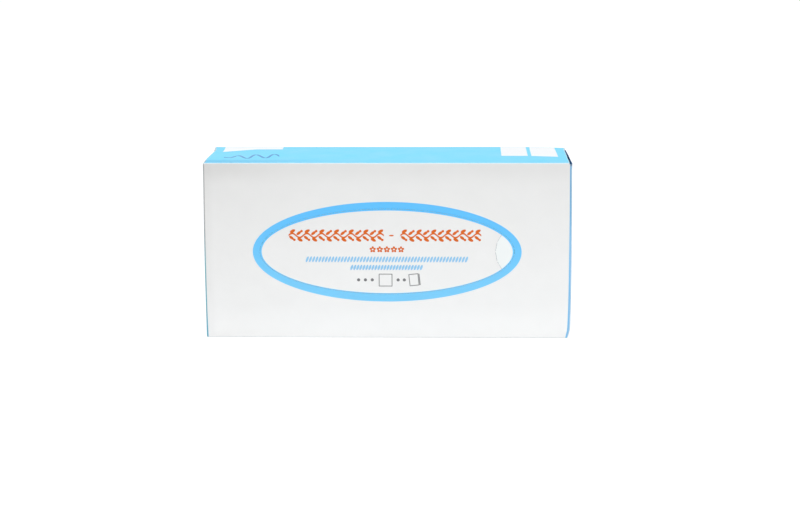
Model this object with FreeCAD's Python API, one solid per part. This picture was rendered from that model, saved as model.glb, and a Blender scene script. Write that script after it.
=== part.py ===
import FreeCAD, Part
import math
import os

# A flat carton of folded tissues, still sealed, standing on its long narrow wall.
# X runs along the box, Y from the front panel to the back panel, Z is up.
# The origin is the middle of the standing wall, on the surface it stands on.
# The carton and the stack that fills it can't be seen into, so they are one closed solid.

# Overall size of the closed carton
length = 230.0
depth = 60.0
height = 112.4

# Carton board and its folds
board = 0.45
fold_inner_radius = 0.45

# End closure: the front panel's flap lies outside, the back panel's flap under it,
# and the flaps of the two narrow walls under both
flap_side_clearance = 0.3
outer_flap_short = 1.5
inner_flap_short = 12.0

# Glued seam: the standing wall's free edge lies on a flap of the back panel
seam_setback = 0.6

# Perforated oval in the front panel, and the half-moon thumb tab at its right end
oval_length = 159.6
oval_height = 54.6
oval_centre_x = -0.3
oval_centre_z = 56.0
tab_depth = 11.6
tab_radius = 17.5

# Perforation: a cut, then a nick of whole board
slit_length = 3.2
nick_length = 0.8
slit_width = 0.3
tab_slit_length = 6.0

# Fineness of the tear line's points, and the gap under which two points are one
oval_steps = 720
tab_step = math.radians(0.5)
same_point = 1e-6

# Worked out from the sizes above: the folds' outside, the two large panels' outer faces,
# and the outer faces of the three layers of flaps at each end
fold_radius = fold_inner_radius + board
front_y = -depth / 2
back_y = depth / 2
outer_flap_x = length / 2
inner_flap_x = outer_flap_x - board
narrow_flap_x = inner_flap_x - board
side_inset = fold_radius + flap_side_clearance
quarter_turn = math.pi / 2


def arc(centre_u, centre_v, radius, start, end):
    """Start, middle and end point of an arc in a flat outline, angles in quarter turns."""
    points = []
    for quarters in (start, (start + end) / 2, end):
        angle = quarters * quarter_turn
        points.append((centre_u + radius * math.cos(angle), centre_v + radius * math.sin(angle)))
    return points


def outline_face(stretches, to_space):
    """A face from straight points (u, v) and arcs, each arc a list of three points."""
    edges = []
    first = None
    last = None
    for stretch in stretches:
        points = stretch if isinstance(stretch, list) else [stretch]
        start = to_space(*points[0])
        if last is None:
            first = start
        elif last.distanceToPoint(start) > same_point:
            edges.append(Part.makeLine(last, start))
        last = start
        if len(points) == 3:
            middle = to_space(*points[1])
            last = to_space(*points[2])
            edges.append(Part.Arc(start, middle, last).toShape())
    edges.append(Part.makeLine(last, first))
    return Part.Face(Part.Wire(edges))


def wall_section():
    """The four walls and what they hold, cut across: rounded folds and the seam's step."""
    inside_back = back_y - fold_radius
    inside_front = front_y + fold_radius
    top = height - fold_radius
    seam_y = inside_back - seam_setback
    return [
        arc(inside_front, top, fold_radius, 2, 1),
        arc(inside_back, top, fold_radius, 1, 0),
        arc(inside_back, board + fold_radius, fold_radius, 0, -1),
        (seam_y, board),
        (seam_y, 0.0),
        arc(inside_front, fold_radius, fold_radius, -1, -2),
    ]


def walls():
    """Front, top, back and standing wall as one sleeve, filled, up to where the end folds start."""
    half = narrow_flap_x - fold_radius
    face = outline_face(wall_section(), lambda y, z: FreeCAD.Vector(-half, y, z))
    return face.extrude(FreeCAD.Vector(2 * half, 0, 0))


def stack():
    """What the sleeve holds, out to the outer face of the narrow walls' end flaps."""
    size = (2 * narrow_flap_x, depth - 2 * fold_radius, height - board - 2 * fold_radius)
    corner = FreeCAD.Vector(-narrow_flap_x, front_y + fold_radius, board + fold_radius)
    return Part.makeBox(*size, corner)


def flap_profile(outer_x, reach):
    """A flap cut across its fold: x outwards, and the distance in from the panel's outer face."""
    start = narrow_flap_x - 2 * fold_radius
    return [
        (start, 0.0),
        arc(outer_x - fold_radius, fold_radius, fold_radius, -1, 0),
        (outer_x, reach),
        (outer_x - board, reach),
        arc(outer_x - fold_radius, fold_radius, fold_inner_radius, 0, -1),
        (start, board),
    ]


def large_flap(side, panel_y, outer_x, short):
    """End flap of the front or back panel, folded across the end of the box."""
    inwards = -math.copysign(1.0, panel_y)
    reach = depth - short

    def to_space(x, inset):
        return FreeCAD.Vector(side * x, panel_y + inwards * inset, side_inset)

    face = outline_face(flap_profile(outer_x, reach), to_space)
    return face.extrude(FreeCAD.Vector(0, 0, height - 2 * side_inset))


def narrow_flap(side, wall_z, inwards):
    """End flap of the top or standing wall: its fold, down to the stack's end."""
    def to_space(x, inset):
        return FreeCAD.Vector(side * x, front_y + side_inset, wall_z + inwards * inset)

    reach = side_inset + fold_radius
    face = outline_face(flap_profile(narrow_flap_x, reach), to_space)
    return face.extrude(FreeCAD.Vector(0, depth - 2 * side_inset, 0))


def end_flaps(side):
    """The four flaps that close one end, glued on each other."""
    return [
        narrow_flap(side, height, -1),
        narrow_flap(side, 0.0, 1),
        large_flap(side, back_y, inner_flap_x, inner_flap_short),
        large_flap(side, front_y, outer_flap_x, outer_flap_short),
    ]


def oval_point(angle):
    """Point of the tear line on the front panel, as (x, z)."""
    x = oval_centre_x + oval_length / 2 * math.cos(angle)
    z = oval_centre_z + oval_height / 2 * math.sin(angle)
    return x, z


def inside_oval(x, z):
    across = (x - oval_centre_x) / (oval_length / 2)
    up = (z - oval_centre_z) / (oval_height / 2)
    return across ** 2 + up ** 2 < 1


def tab_line():
    """The thumb tab's curved edge, from the tear line to the tear line, as (x, z) points."""
    centre_x = oval_centre_x + oval_length / 2 - tab_depth + tab_radius
    upper = [(centre_x - tab_radius, oval_centre_z)]
    angle = tab_step
    while angle < quarter_turn:
        x = centre_x - tab_radius * math.cos(angle)
        rise = tab_radius * math.sin(angle)
        if not inside_oval(x, oval_centre_z + rise):
            break
        upper.append((x, oval_centre_z + rise))
        angle += tab_step
    lower = [(x, 2 * oval_centre_z - z) for x, z in upper[1:]]
    return lower[::-1] + upper


def spaced_slits(points, slit, nick):
    """Middle and direction of equal slits along a line of points, a nick between each two."""
    reached = [0.0]
    for start, end in zip(points, points[1:]):
        reached.append(reached[-1] + math.dist(start, end))
    total = reached[-1]
    count = max(1, round(total / (slit + nick)))
    slits = []
    segment = 0
    for index in range(count):
        distance = (index + 0.5) * total / count
        while reached[segment + 1] < distance:
            segment += 1
        (x0, z0), (x1, z1) = points[segment], points[segment + 1]
        share = (distance - reached[segment]) / (reached[segment + 1] - reached[segment])
        middle = (x0 + share * (x1 - x0), z0 + share * (z1 - z0))
        slits.append((middle, math.atan2(z1 - z0, x1 - x0), total / count - nick))
    return slits


def slit_cut(middle, direction, slit):
    """One cut of the perforation, as deep as the board."""
    cut = Part.makeBox(slit, 2 * board, slit_width, FreeCAD.Vector(-slit / 2, -board, -slit_width / 2))
    cut.rotate(FreeCAD.Vector(0, 0, 0), FreeCAD.Vector(0, -1, 0), math.degrees(direction))
    cut.translate(FreeCAD.Vector(middle[0], front_y, middle[1]))
    return cut


def tear_opening():
    """All cuts of the oval tear line and of the thumb tab."""
    oval = [oval_point(2 * math.pi * i / oval_steps) for i in range(oval_steps + 1)]
    slits = spaced_slits(oval, slit_length, nick_length)
    slits += spaced_slits(tab_line(), tab_slit_length, nick_length)
    return [slit_cut(*slit) for slit in slits]


def tissue_carton():
    """The sealed carton as one closed solid."""
    carton = walls().fuse([stack()] + end_flaps(1) + end_flaps(-1)).removeSplitter()
    return carton.cut(tear_opening())


mm3_per_litre = 1e6
carton = tissue_carton()
solid = carton.Solids[0]
print("solids", len(carton.Solids), "valid", solid.isValid(), "faces", len(solid.Faces))
print("volume in litres", round(solid.Volume / mm3_per_litre, 4), "box", solid.BoundBox)
os.makedirs("parts", exist_ok=True)
solid.exportStep("parts/tissue_carton.step")
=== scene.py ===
# %% [markdown]
# # A sealed carton of tissues
# A tissue box looks like a plain block, but it is one flat sheet of printed board that a
# machine has creased, folded and glued shut. We build it the same way: draw the flat
# sheet, cut its perforation, note every point's place for the print, and fold it along
# its creases. Folding gives for free what makes a carton look real, such as the rounded
# folds, the three layers of flaps at each end and the gaps between them, which painted
# shadow makes darker.

# %% Load the measured part
import bpy
import math
from collections import namedtuple
from mathutils import Matrix, Vector


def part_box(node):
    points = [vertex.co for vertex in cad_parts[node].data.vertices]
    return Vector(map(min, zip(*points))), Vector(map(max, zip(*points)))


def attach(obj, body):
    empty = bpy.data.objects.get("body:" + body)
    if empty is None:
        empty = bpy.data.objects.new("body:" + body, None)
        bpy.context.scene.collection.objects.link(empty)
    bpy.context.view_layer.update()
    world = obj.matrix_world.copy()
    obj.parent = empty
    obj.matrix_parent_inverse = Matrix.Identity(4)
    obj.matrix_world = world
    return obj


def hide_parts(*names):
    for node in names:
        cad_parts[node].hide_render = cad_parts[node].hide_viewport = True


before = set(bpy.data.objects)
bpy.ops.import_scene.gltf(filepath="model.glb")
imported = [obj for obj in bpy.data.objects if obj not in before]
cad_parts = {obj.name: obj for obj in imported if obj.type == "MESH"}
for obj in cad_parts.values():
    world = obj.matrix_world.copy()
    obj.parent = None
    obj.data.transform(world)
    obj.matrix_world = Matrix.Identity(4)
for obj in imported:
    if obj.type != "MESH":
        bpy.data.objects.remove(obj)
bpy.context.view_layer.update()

# %% [markdown]
# ## Sizes
# The outside of the closed box comes from the measured part. The board's thickness and the
# radius of a fold decide the rest. Blender works in metres, so lengths written in
# millimetres are multiplied by `MM`. A `hair` is a length too small to see.

# %% Sizes of the box, its board and its flaps
MM = 0.001
hair = 0.01 * MM
part_low, part_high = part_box("tissue_carton")
length = part_high[0] - part_low[0]
depth = part_high[1] - part_low[1]
height = part_high[2] - part_low[2]
front_y = part_low[1]

board = 0.45 * MM
fold_radius = 0.9 * MM
fold_length = fold_radius * math.pi / 2
flap_clearance = 0.3 * MM
inner_flap_clearance = 3.0 * MM
seam_setback = 0.6 * MM
outer_flap_short = 1.5 * MM
inner_flap_short = 12.0 * MM
narrow_flap_reach = 38.0 * MM
glue_flap_width = 14.0 * MM
glue_flap_short = 4.0 * MM
print("box", round(length / MM, 1), "x", round(depth / MM, 1), "x", round(height / MM, 1), "mm")

# %% [markdown]
# ## The flat sheet
# Along the sheet the walls follow each other: standing wall, front panel, top wall, back
# panel and the flap for the glue. Every wall has an end flap left and right. The flaps lie
# in three layers, so each layer's crease sits one board thickness further in. A wall is
# written here by where it starts and ends on the flat sheet, where its end creases are
# and how far its flaps reach. The front panel is drawn where it will stay, so a height on
# the flat sheet is a real height there.

# %% Walls on the flat sheet
Wall = namedtuple("Wall", "name start end crease flap_end flap_inset")
outer_layer, inner_layer, narrow_layer = 0, 1, 2


def end_crease(layer):
    """Distance from the middle of the sheet to the end crease of a layer."""
    return length / 2 - layer * board - fold_radius


def make_wall(name, start, size, layer, flap_reach, flap_inset=flap_clearance):
    """A wall of the sheet. flap_reach is the folded flap's length, from the wall's outer face."""
    crease = end_crease(layer)
    flap_end = crease + fold_length + flap_reach - fold_radius
    return Wall(name, start, start + size, crease, flap_end, flap_inset)


large_wall = height - 2 * fold_radius
narrow_wall = depth - 2 * fold_radius
standing_size = narrow_wall - seam_setback
standing = make_wall("standing", fold_radius - fold_length - standing_size, standing_size,
                     narrow_layer, narrow_flap_reach)
front = make_wall("front", fold_radius, large_wall, outer_layer, depth - outer_flap_short)
top = make_wall("top", front.end + fold_length, narrow_wall, narrow_layer, narrow_flap_reach)
back = make_wall("back", top.end + fold_length, large_wall - board, inner_layer,
                 depth - inner_flap_short, inner_flap_clearance)
walls = [standing, front, top, back]
glue_start = back.end + fold_length
glue_end = glue_start + glue_flap_width
glue_half_length = end_crease(narrow_layer) - glue_flap_short
print("sheet runs from", round(standing.start / MM, 1), "to", round(glue_end / MM, 1), "mm")

# %% [markdown]
# Bending needs enough grid lines where the sheet turns, and few elsewhere. `ruled` lays
# lines through every place that matters and fills the spans between them, closely inside
# the creases. A cell of the grid becomes a face only where the sheet has board.

# %% Rule the sheet and make its mesh
crease_askew = 0.9 * MM
corner_share = 0.9
crease_step = 0.15 * MM
plain_step = 4.0 * MM


def ruled(stops, creases):
    """Grid lines through all stops, close together inside the creases."""
    stops = sorted(set(stops))
    lines = [stops[0]]
    for low, high in zip(stops, stops[1:]):
        middle = (low + high) / 2
        in_crease = any(start < middle < end for start, end in creases)
        count = max(1, round((high - low) / (crease_step if in_crease else plain_step)))
        lines += [low + (high - low) * i / count for i in range(1, count + 1)]
    return lines


def strip_reach(lower, upper, x):
    """How far out the board goes between two walls; it closes the corner, except the open one."""
    if upper is top and x > 0:
        return top.crease
    return max(lower.crease, upper.crease) + corner_share * fold_length


def has_board(x, z):
    """True where the flat sheet has board."""
    reach = abs(x)
    for wall in walls:
        if wall.start < z < wall.end and reach < wall.crease + fold_length:
            return True
        if wall.start + wall.flap_inset < z < wall.end - wall.flap_inset and reach < wall.flap_end:
            return True
    for lower, upper in zip(walls, walls[1:]):
        if lower.end < z < upper.start:
            return reach < strip_reach(lower, upper, x)
    if back.end < z < glue_start:
        return reach < back.crease
    return glue_start <= z < glue_end and reach < glue_half_length


def sheet_mesh():
    """The flat sheet as one layer of faces that look forwards, in the plane of the front panel."""
    half_stops = [glue_half_length]
    z_stops = [glue_start, glue_end]
    for wall in walls:
        half_stops += [wall.crease, wall.crease + corner_share * fold_length,
                       wall.crease + fold_length, wall.flap_end]
        z_stops += [wall.start, wall.start + wall.flap_inset, wall.end - wall.flap_inset, wall.end]
    bend_zone = (end_crease(narrow_layer) - crease_askew, end_crease(outer_layer) + fold_length)
    half_lines = ruled([0.0, bend_zone[0]] + half_stops, [bend_zone])
    x_lines = [-x for x in half_lines[:0:-1]] + half_lines
    z_lines = ruled(z_stops, [(wall.end, wall.end + fold_length) for wall in walls])
    points = [(x, front_y, z) for z in z_lines for x in x_lines]
    columns = len(x_lines)
    faces = []
    for row in range(len(z_lines) - 1):
        for column in range(columns - 1):
            x = (x_lines[column] + x_lines[column + 1]) / 2
            z = (z_lines[row] + z_lines[row + 1]) / 2
            if has_board(x, z):
                corner = row * columns + column
                faces.append((corner, corner + 1, corner + columns + 1, corner + columns))
    mesh = bpy.data.meshes.new("flat_sheet")
    mesh.from_pydata(points, [], faces)
    return mesh


carton = bpy.data.objects.new("carton", sheet_mesh())
bpy.context.scene.collection.objects.link(carton)
print("faces in the flat sheet:", len(carton.data.polygons))

# %% [markdown]
# ## Small helpers for node trees
# Geometry nodes and shader nodes are built with the same calls. `open_group` opens a group
# with named sockets, `place` puts down a node and feeds it, and a `Wire` is a socket to
# reckon with: where the code says `a + b`, the tree gets an Add node, for numbers or for
# vectors, and the result is the wire that leaves it.

# %% Wires, and how a node is placed and fed
FLOAT = "NodeSocketFloat"
VECTOR = "NodeSocketVector"
GEOMETRY = "NodeSocketGeometry"
INTEGER = "NodeSocketInt"
MATERIAL = "NodeSocketMaterial"


class Wire:
    """A socket to reckon with."""

    def __init__(self, socket):
        self.socket = socket
        self.tree = socket.id_data

    def __add__(self, other):
        return calc("ADD", self, other)

    def __sub__(self, other):
        return calc("SUBTRACT", self, other)

    def __rsub__(self, other):
        return calc("SUBTRACT", other, self)

    def __mul__(self, other):
        return calc("MULTIPLY", self, other)

    def __truediv__(self, other):
        return calc("DIVIDE", self, other)

    def __gt__(self, other):
        return calc("GREATER_THAN", self, other)

    def __lt__(self, other):
        return calc("LESS_THAN", self, other)

    def __abs__(self):
        return calc("ABSOLUTE", self)


def wires(sockets):
    """Sockets as wires, by their names."""
    return {socket.name: Wire(socket) for socket in sockets}


def feed(node, feeds):
    """Feed a node's inputs with values or wires; a list of wires goes into one socket."""
    for key, value in feeds.items():
        values = value if isinstance(value, list) else [value]
        for one in values:
            if isinstance(one, Wire):
                node.id_data.links.new(one.socket, node.inputs[key])
            else:
                node.inputs[key].default_value = one


def place_node(tree, kind, feeds, **settings):
    """Place a node, set its options and feed it."""
    node = tree.nodes.new(kind)
    for name, value in settings.items():
        setattr(node, name, value)
    feed(node, feeds)
    return node


def place(tree, kind, feeds, out=0, **settings):
    """Place a node and take one of its outputs, the first unless told otherwise."""
    return Wire(place_node(tree, kind, feeds, **settings).outputs[out])


print("wires ready")

# %% [markdown]
# Signs between wires end up in `calc`, which picks the node for numbers or for vectors.
# The last four helpers are for geometry alone: they read and note values on the sheet, and
# they move its points.

# %% Groups, arithmetic and values on the sheet
def open_group(name, kind, inputs, outputs):
    """A new node group with named sockets, its inputs as wires and its output node."""
    tree = bpy.data.node_groups.new(name, kind)
    for in_out, sockets in (("INPUT", inputs), ("OUTPUT", outputs)):
        for label, socket_type in sockets.items():
            tree.interface.new_socket(label, in_out=in_out, socket_type=socket_type)
    given = wires(tree.nodes.new("NodeGroupInput").outputs)
    return tree, given, tree.nodes.new("NodeGroupOutput")


def use_group(tree, group, feeds):
    """Place one of our own groups and take its first output."""
    return place(tree, tree.bl_idname.replace("Tree", "Group"), feeds, node_tree=group)


def calc(operation, *terms):
    """One step of arithmetic, on vectors if a term is a vector, else on numbers."""
    used = [term for term in terms if isinstance(term, Wire)]
    kind = "ShaderNodeMath"
    out = 0
    if any(wire.socket.type == "VECTOR" for wire in used):
        kind = "ShaderNodeVectorMath"
        out = "Value" if operation in ("DOT_PRODUCT", "LENGTH") else "Vector"
    return place(used[0].tree, kind, dict(enumerate(terms)), out, operation=operation)


def largest(first, *others):
    """The largest of several numbers."""
    for other in others:
        first = calc("MAXIMUM", first, other)
    return first


def scaled(vector, factor):
    """A vector or a colour times a number."""
    return place(vector.tree, "ShaderNodeVectorMath", {0: vector, "Scale": factor}, "Vector",
                 operation="SCALE")


def split(vector):
    """The three parts of a vector."""
    parts = place_node(vector.tree, "ShaderNodeSeparateXYZ", {0: vector}).outputs
    return [Wire(part) for part in parts]


def join(tree, x=0.0, y=0.0, z=0.0):
    """A vector from its parts."""
    return place(tree, "ShaderNodeCombineXYZ", {0: x, 1: y, 2: z})


def position_of(tree):
    return place(tree, "GeometryNodeInputPosition", {})


def named(tree, name, data_type="FLOAT"):
    """Something that was noted on the sheet under a name."""
    return place(tree, "GeometryNodeInputNamedAttribute", {"Name": name}, data_type=data_type)


def moved(tree, geometry, offset, selection=True):
    """The geometry with its chosen points moved."""
    return place(tree, "GeometryNodeSetPosition",
                 {"Geometry": geometry, "Offset": offset, "Selection": selection})


def noted(tree, geometry, name, value, data_type, domain, selection=True):
    """The geometry with a value noted on it under a name."""
    return place(tree, "GeometryNodeStoreNamedAttribute",
                 {"Geometry": geometry, "Name": name, "Value": value, "Selection": selection},
                 data_type=data_type, domain=domain)


print("helpers ready")

# %% [markdown]
# ## Give the sheet its thickness
# A single layer of faces becomes board by extruding it backwards. The extrusion's offset has
# to come through a link: a number typed into that socket is ignored, and the faces would
# move along their normals, out of the front panel's plane. The extruded part is turned
# inside out, so that its faces look away from the board, and joined to the layer that
# stayed.

# %% Group: thickness
def make_thickness_group():
    tree, given, out = open_group("Board Thickness", "GeometryNodeTree",
                                  {"Sheet": GEOMETRY, "Board": FLOAT}, {"Board": GEOMETRY})
    pushed = place(tree, "GeometryNodeExtrudeMesh",
                   {"Mesh": given["Sheet"], "Offset": join(tree, y=1.0),
                    "Offset Scale": given["Board"], "Individual": False})
    turned = place(tree, "GeometryNodeFlipFaces", {"Mesh": pushed})
    both = place(tree, "GeometryNodeJoinGeometry", {0: [turned, given["Sheet"]]})
    welded = place(tree, "GeometryNodeMergeByDistance", {"Geometry": both, "Distance": hair})
    feed(out, {"Board": welded})
    return tree


thickness_group = make_thickness_group()
print("made", thickness_group.name)

# %% [markdown]
# ## Perforation
# The oval is torn out along a row of short cuts with nicks of whole board between them.
# A row like this is what Geometry Nodes are best at: spread points along a curve, put the
# same cutter on every point, turn it along the curve, and subtract them all at once. The
# same group serves the oval and the curved edge of the thumb tab.

# %% Group: cutters along a curve
def make_cutter_group():
    tree, given, out = open_group(
        "Cutters Along Curve", "GeometryNodeTree",
        {"Curve": GEOMETRY, "Count": INTEGER, "Slit Length": FLOAT, "Slit Width": FLOAT,
         "Cut Depth": FLOAT},
        {"Cutters": GEOMETRY})
    spread = wires(place_node(tree, "GeometryNodeCurveToPoints",
                              {"Curve": given["Curve"], "Count": given["Count"]},
                              mode="COUNT").outputs)
    turn = place(tree, "FunctionNodeAlignRotationToVector", {"Vector": spread["Tangent"]},
                 axis="X", pivot_axis="Y")
    size = join(tree, given["Slit Length"], given["Cut Depth"], given["Slit Width"])
    cutter = place(tree, "GeometryNodeMeshCube", {"Size": size})
    row = place(tree, "GeometryNodeInstanceOnPoints",
                {"Points": spread["Points"], "Instance": cutter, "Rotation": turn})
    feed(out, {"Cutters": place(tree, "GeometryNodeRealizeInstances", {0: row})})
    return tree


cutter_group = make_cutter_group()
print("made", cutter_group.name)

# %% [markdown]
# The oval's tear line and the half-moon of the thumb tab are measured on the front panel.
# The tab's edge is an arc that ends where it meets the tear line, which a short search
# along the arc finds.

# %% Sizes of the perforation
oval_length = 159.6 * MM
oval_height = 54.6 * MM
oval_x = -0.3 * MM
oval_z = 56.0 * MM
tab_depth = 11.6 * MM
tab_radius = 17.5 * MM
slit_length = 3.2 * MM
nick_length = 0.8 * MM
tab_slit_length = 6.0 * MM
slit_width = 0.14 * MM
tab_centre_x = oval_x + oval_length / 2 - tab_depth + tab_radius


def tab_half_angle():
    """Half of the angle that the tab's arc spans, up to the tear line."""
    angle = 0.0
    step = math.radians(0.25)
    while angle < math.pi / 2:
        x = tab_centre_x - tab_radius * math.cos(angle) - oval_x
        z = tab_radius * math.sin(angle)
        if (2 * x / oval_length) ** 2 + (2 * z / oval_height) ** 2 >= 1:
            break
        angle += step
    return angle


tab_half = tab_half_angle()
tab_slits = round(2 * tab_half * tab_radius / (tab_slit_length + nick_length))
print("thumb tab spans", round(math.degrees(2 * tab_half)), "degrees in", tab_slits, "cuts")

# %% [markdown]
# Both curves are drawn upright in the plane of the front panel, the oval as a circle one
# metre wide that is then scaled. How many cuts go on the oval follows from its length, and
# the cuts share out what the nicks leave over.

# %% Group: perforate the sheet
oval_points = 256
tab_points = 64


def make_perforation_group():
    tree, given, out = open_group(
        "Perforate", "GeometryNodeTree",
        {"Board": GEOMETRY, "Centre": VECTOR, "Oval Length": FLOAT, "Oval Height": FLOAT,
         "Slit Length": FLOAT, "Nick Length": FLOAT, "Slit Width": FLOAT, "Cut Depth": FLOAT,
         "Tab Centre": VECTOR, "Tab Radius": FLOAT, "Tab Half Angle": FLOAT, "Tab Slits": INTEGER},
        {"Board": GEOMETRY})
    upright = (math.pi / 2, 0, 0)
    circle = place(tree, "GeometryNodeCurvePrimitiveCircle", {"Resolution": oval_points, "Radius": 0.5})
    oval = place(tree, "GeometryNodeTransform",
                 {"Geometry": circle, "Translation": given["Centre"], "Rotation": upright,
                  "Scale": join(tree, given["Oval Length"], given["Oval Height"], 1.0)})
    around = place(tree, "GeometryNodeCurveLength", {"Curve": oval})
    oval_slits = calc("ROUND", around / (given["Slit Length"] + given["Nick Length"]))

    each = given["Tab Half Angle"] * 2.0 / given["Tab Slits"]
    arc = place(tree, "GeometryNodeCurveArc",
                {"Resolution": tab_points, "Radius": given["Tab Radius"],
                 "Start Angle": each * 0.5 + math.pi - given["Tab Half Angle"],
                 "Sweep Angle": given["Tab Half Angle"] * 2.0 - each})
    tab = place(tree, "GeometryNodeTransform",
                {"Geometry": arc, "Translation": given["Tab Centre"], "Rotation": upright})

    cutters = []
    for curve, count, pitch in ((oval, oval_slits, around / oval_slits),
                                (tab, given["Tab Slits"], each * given["Tab Radius"])):
        cutters.append(use_group(tree, cutter_group,
                                 {"Curve": curve, "Count": count,
                                  "Slit Length": pitch - given["Nick Length"],
                                  "Slit Width": given["Slit Width"],
                                  "Cut Depth": given["Cut Depth"]}))
    cut = place(tree, "GeometryNodeMeshBoolean", {"Mesh 1": given["Board"], "Mesh 2": cutters},
                operation="DIFFERENCE", solver="EXACT")
    feed(out, {"Board": cut})
    return tree


perforation_group = make_perforation_group()
print("made", perforation_group.name)

# %% [markdown]
# ## A map for baked pictures
# The print needs every point's place on the flat sheet, and so does whoever bakes the
# material into a picture. For the picture there is a map of its own, `OFBake`. Opened
# flat, the carton is almost square, so the sheet itself fills a picture well. The
# unprinted sides would lie on top of the printed one, and they are plain, so they are
# drawn twenty times smaller in the empty corners beside the short flaps: the inner side at
# the right, the cut edges at the left, and the few cut edges painted navy as shadow below.

# %% Place in a baked picture
map_margin = 2 * MM
map_side = glue_end - standing.start + 2 * map_margin
map_middle_z = (glue_end + standing.start) / 2
small = 0.05
corner_x = 162 * MM
corner_z = (top.start + top.end) / 2
lower_corner_z = (standing.start + standing.end) / 2
edge_band = 2 * MM
# The cut edges at the open corner that are painted navy as shadow.
shadow_patch_middle = (145.0, 111.2)
shadow_patch_half_size = (32.3, 2.2)


def bake_place(tree, position):
    """Where a corner of a face lies in a baked picture, both numbers between nought and one."""
    x, y, z = split(position)
    up = z - map_middle_z
    bare = named(tree, "bare")
    inside = named(tree, "inside")
    on_edge = 1.0 - inside
    # Cut edges painted navy as shadow go to a corner of their own.
    shadowed = ((abs(x / MM - shadow_patch_middle[0]) < shadow_patch_half_size[0])
               * (abs(z / MM - shadow_patch_middle[1]) < shadow_patch_half_size[1]))
    row = shadowed * on_edge * (lower_corner_z - corner_z) + (corner_z - map_middle_z)
    small_x = x * small + inside * (2 * corner_x) - corner_x
    small_up = up * small + row + (y - front_y) * (edge_band / board) * on_edge
    map_x = bare * (small_x - x) + x
    map_up = bare * (small_up - up) + up
    return join(tree, map_x / map_side + 0.5, map_up / map_side + 0.5)


print("one millimetre of the sheet is", round(MM / map_side, 5), "of the picture's width")

# %% [markdown]
# ## Remember the flat sheet
# Before the board is folded, every point notes its place on the flat sheet: as the
# attribute `flat` for the folding, as the UV map `blank` in millimetres for the printing,
# and as the map for baked pictures. The sides of the board that aren't printed are marked
# now too, when they are simply the faces that don't look forwards.

# %% Group: note what the later steps read
def make_memory_group():
    tree, given, out = open_group("Remember Flat Sheet", "GeometryNodeTree",
                                  {"Board": GEOMETRY}, {"Board": GEOMETRY})
    position = position_of(tree)
    x, y, z = split(position)
    backwards = split(place(tree, "GeometryNodeInputNormal", {}))[1]
    notes = [
        ("flat", position, "FLOAT_VECTOR", "POINT"),
        ("blank", join(tree, x / MM, z / MM), "FLOAT2", "CORNER"),
        ("bare", backwards > -0.5, "FLOAT", "FACE"),
        ("inside", backwards > 0.5, "FLOAT", "FACE"),
        ("fold", 0.0, "FLOAT", "POINT"),
        ("OFBake", bake_place(tree, position), "FLOAT2", "CORNER"),
    ]
    work = given["Board"]
    for note in notes:
        work = noted(tree, work, *note)
    feed(out, {"Board": work})
    return tree


memory_group = make_memory_group()
print("made", memory_group.name)

# %% [markdown]
# ## Crown
# Board that holds a soft stack is never quite flat. Each panel gets a shallow crown, which
# fades to nothing at its edges, so that the light falls softly across it. This group lifts
# the points of one rectangle of the sheet along the forward direction.

# %% Group: crown of a panel
def make_crown_group():
    tree, given, out = open_group(
        "Panel Crown", "GeometryNodeTree",
        {"Board": GEOMETRY, "Middle": VECTOR, "Half Size": VECTOR, "Rise": FLOAT},
        {"Board": GEOMETRY})
    flat = named(tree, "flat", "FLOAT_VECTOR")
    x, y, z = split((flat - given["Middle"]) / given["Half Size"])
    share = largest(1.0 - x * x, 0.0) * largest(1.0 - z * z, 0.0)
    lift = share * given["Rise"] * -1.0
    feed(out, {"Board": moved(tree, given["Board"], join(tree, y=lift))})
    return tree


crown_group = make_crown_group()
print("made", crown_group.name)

# %% [markdown]
# The stack also pushes the two ends out, most of all a little below the middle, where it
# sags. The next group moves points outwards with the fifth power of their place along the
# box, so the ends bow and the middle hardly stretches.

# %% Group: bow of the two ends
def make_bow_group():
    tree, given, out = open_group(
        "End Bow", "GeometryNodeTree",
        {"Board": GEOMETRY, "Half Length": FLOAT, "Middle Height": FLOAT, "Half Height": FLOAT,
         "Bow": FLOAT},
        {"Board": GEOMETRY})
    x, y, z = split(position_of(tree))
    along = x / given["Half Length"]
    squared = along * along
    level = (z - given["Middle Height"]) / given["Half Height"]
    belly = 1.0 - level * level
    push = squared * squared * along * belly * given["Bow"]
    feed(out, {"Board": moved(tree, given["Board"], join(tree, push))})
    return tree


bow_group = make_bow_group()
print("made", bow_group.name)

# %% [markdown]
# ## Folding
# A fold is a piece of a cylinder between two flat stretches. For a point at distance `s`
# past the crease and at height `h` above the sheet's outer face, the turn is `s / radius`
# until the full angle is reached, and what is left of `s` runs on straight. Written as a
# group with a crease, a direction and an angle, the same few nodes fold all twelve
# creases. The group also notes in the attribute `fold` where the board is bent most.

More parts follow.
